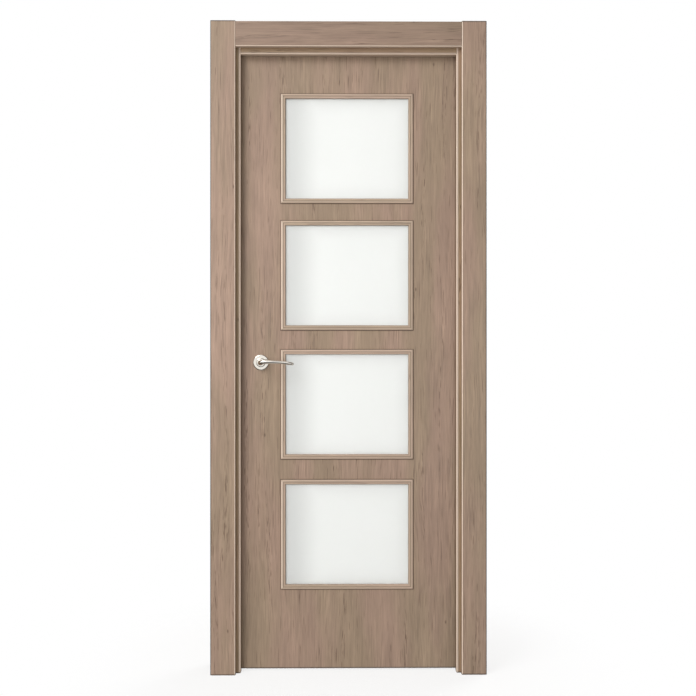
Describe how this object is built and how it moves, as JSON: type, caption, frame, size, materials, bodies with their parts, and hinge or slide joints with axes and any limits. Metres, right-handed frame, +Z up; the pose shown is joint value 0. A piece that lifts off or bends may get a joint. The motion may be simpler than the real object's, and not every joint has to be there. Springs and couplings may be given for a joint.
{
  "type": "glazed interior door with frame",
  "caption": "Flush wood-laminate interior door leaf with frosted panes in moulded beads, a lever handle and hinges, hung in a rebated jamb with flat casings.",
  "frame": {"origin": "on the hinge jamb's wall face, at floor level, in the middle of the jamb's depth", "axes": "+X out of the hinge jamb into the wall, +Y to the side that the leaf opens to, +Z up"},
  "size_m": [0.919, 0.1524, 2.1325],
  "materials": {
    "frame_laminate": "satin",
    "leaf_laminate": "satin",
    "bead_laminate": "satin",
    "core_timber": "sawn",
    "satin_glass": "frosted",
    "seal_rubber": "matte",
    "polished_nickel": "polished",
    "satin_steel": "brushed"
  },
  "bodies": {
    "frame": {"lock_jamb": "frame_laminate", "hinge_jamb": "frame_laminate", "head_jamb": "frame_laminate", "front_casing_left": "frame_laminate", "front_casing_right": "frame_laminate", "front_casing_head": "frame_laminate", "back_casing_left": "frame_laminate", "back_casing_right": "frame_laminate", "back_casing_head": "frame_laminate", "lock_seal": "seal_rubber", "hinge_seal": "seal_rubber", "head_seal": "seal_rubber", "strike_plate": "satin_steel", "hinge_frame_halves": "satin_steel"},
    "leaf": {"lock_stile": "core_timber", "hinge_stile": "core_timber", "top_rail": "core_timber", "upper_rail": "core_timber", "middle_rail": "core_timber", "lower_rail": "core_timber", "bottom_rail": "core_timber", "front_face": "leaf_laminate", "back_face": "leaf_laminate", "lock_edge_lipping": "leaf_laminate", "hinge_edge_lipping": "leaf_laminate", "top_pane": "satin_glass", "upper_pane": "satin_glass", "lower_pane": "satin_glass", "bottom_pane": "satin_glass", "top_front_beads": "bead_laminate", "top_back_beads": "bead_laminate", "upper_front_beads": "bead_laminate", "upper_back_beads": "bead_laminate", "lower_front_beads": "bead_laminate", "lower_back_beads": "bead_laminate", "bottom_front_beads": "bead_laminate", "bottom_back_beads": "bead_laminate", "hinge_leaf_halves": "satin_steel", "latch_forend": "satin_steel", "latch_bolt": "satin_steel", "front_rosette": "polished_nickel", "back_rosette": "polished_nickel"},
    "handle": {"front_lever": "polished_nickel", "back_lever": "polished_nickel", "spindle": "satin_steel"}
  },
  "joints": [
    {"name": "door_swing", "type": "hinge", "parent": "frame", "child": "leaf", "pos_m": [-0.0185, 0.042, 1], "axis": [0, 0, -1], "range_deg": [0, 150]},
    {"name": "lever_turn", "type": "hinge", "parent": "leaf", "child": "handle", "pos_m": [-0.673, 0.014, 1.013], "axis": [0, 1, 0], "range_deg": [0, 40], "stiffness_Nm_per_rad": 1.5, "springref_deg": -17.19}
  ]
}
